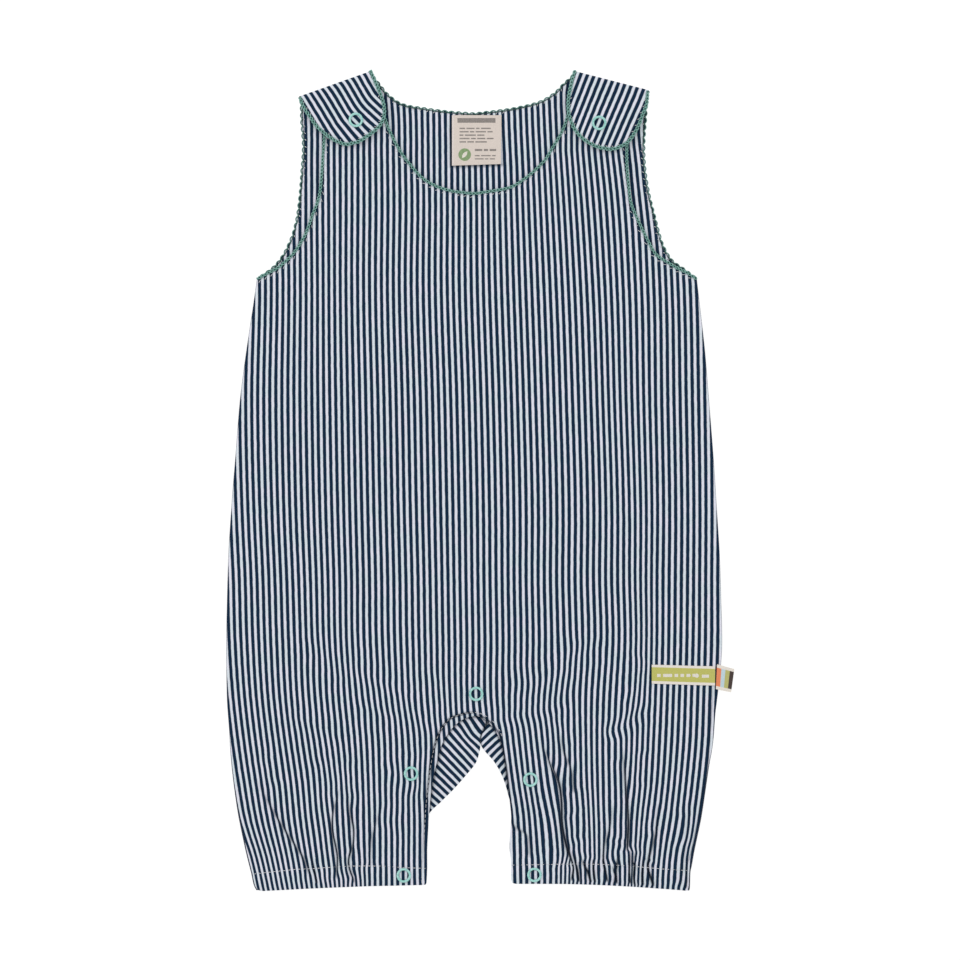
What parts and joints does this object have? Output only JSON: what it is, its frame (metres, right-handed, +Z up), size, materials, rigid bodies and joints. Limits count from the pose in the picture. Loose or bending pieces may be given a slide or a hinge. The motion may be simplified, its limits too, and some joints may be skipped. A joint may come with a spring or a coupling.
{
  "type": "baby's sleeveless short dungarees laid flat",
  "caption": "Sleeveless baby dungarees of striped jersey, laid flat and fastened: front, back with folded shoulder tabs, picot edging, ring snaps, placket bands and labels.",
  "frame": {"origin": "centre of the garment's bounding box in plan, on the surface that it lies on", "axes": "+Z up out of the front of the garment, +Y towards the neck, +X to the right of a viewer who looks down at it"},
  "size_m": [0.315, 0.5092, 0.0078],
  "materials": {
    "striped_jersey": "soft cotton jersey with fine navy and white stripes",
    "picot_edging": "teal elastic picot edging",
    "snap_ring": "mint enamelled ring",
    "snap_stud": "plain metal",
    "neck_label": null,
    "side_ribbon": "woven ribbon with pale borders",
    "side_tab": "woven loop tab with colour bars"
  },
  "bodies": {
    "root": {"front": "striped_jersey", "back": "striped_jersey", "left_placket_band": "striped_jersey", "right_placket_band": "striped_jersey", "front_neck_edging": "picot_edging", "front_left_armhole_edging": "picot_edging", "front_right_armhole_edging": "picot_edging", "back_edging": "picot_edging", "left_shoulder_snap_ring": "snap_ring", "right_shoulder_snap_ring": "snap_ring", "crotch_snap_ring": "snap_ring", "left_knee_snap_ring": "snap_ring", "right_knee_snap_ring": "snap_ring", "left_hem_snap_ring": "snap_ring", "right_hem_snap_ring": "snap_ring", "left_shoulder_snap_stud": "snap_stud", "right_shoulder_snap_stud": "snap_stud", "crotch_snap_stud": "snap_stud", "left_knee_snap_stud": "snap_stud", "right_knee_snap_stud": "snap_stud", "left_hem_snap_stud": "snap_stud", "right_hem_snap_stud": "snap_stud", "neck_label": "neck_label", "side_label": "side_ribbon", "side_tab": "side_tab"}
  },
  "joints": []
}
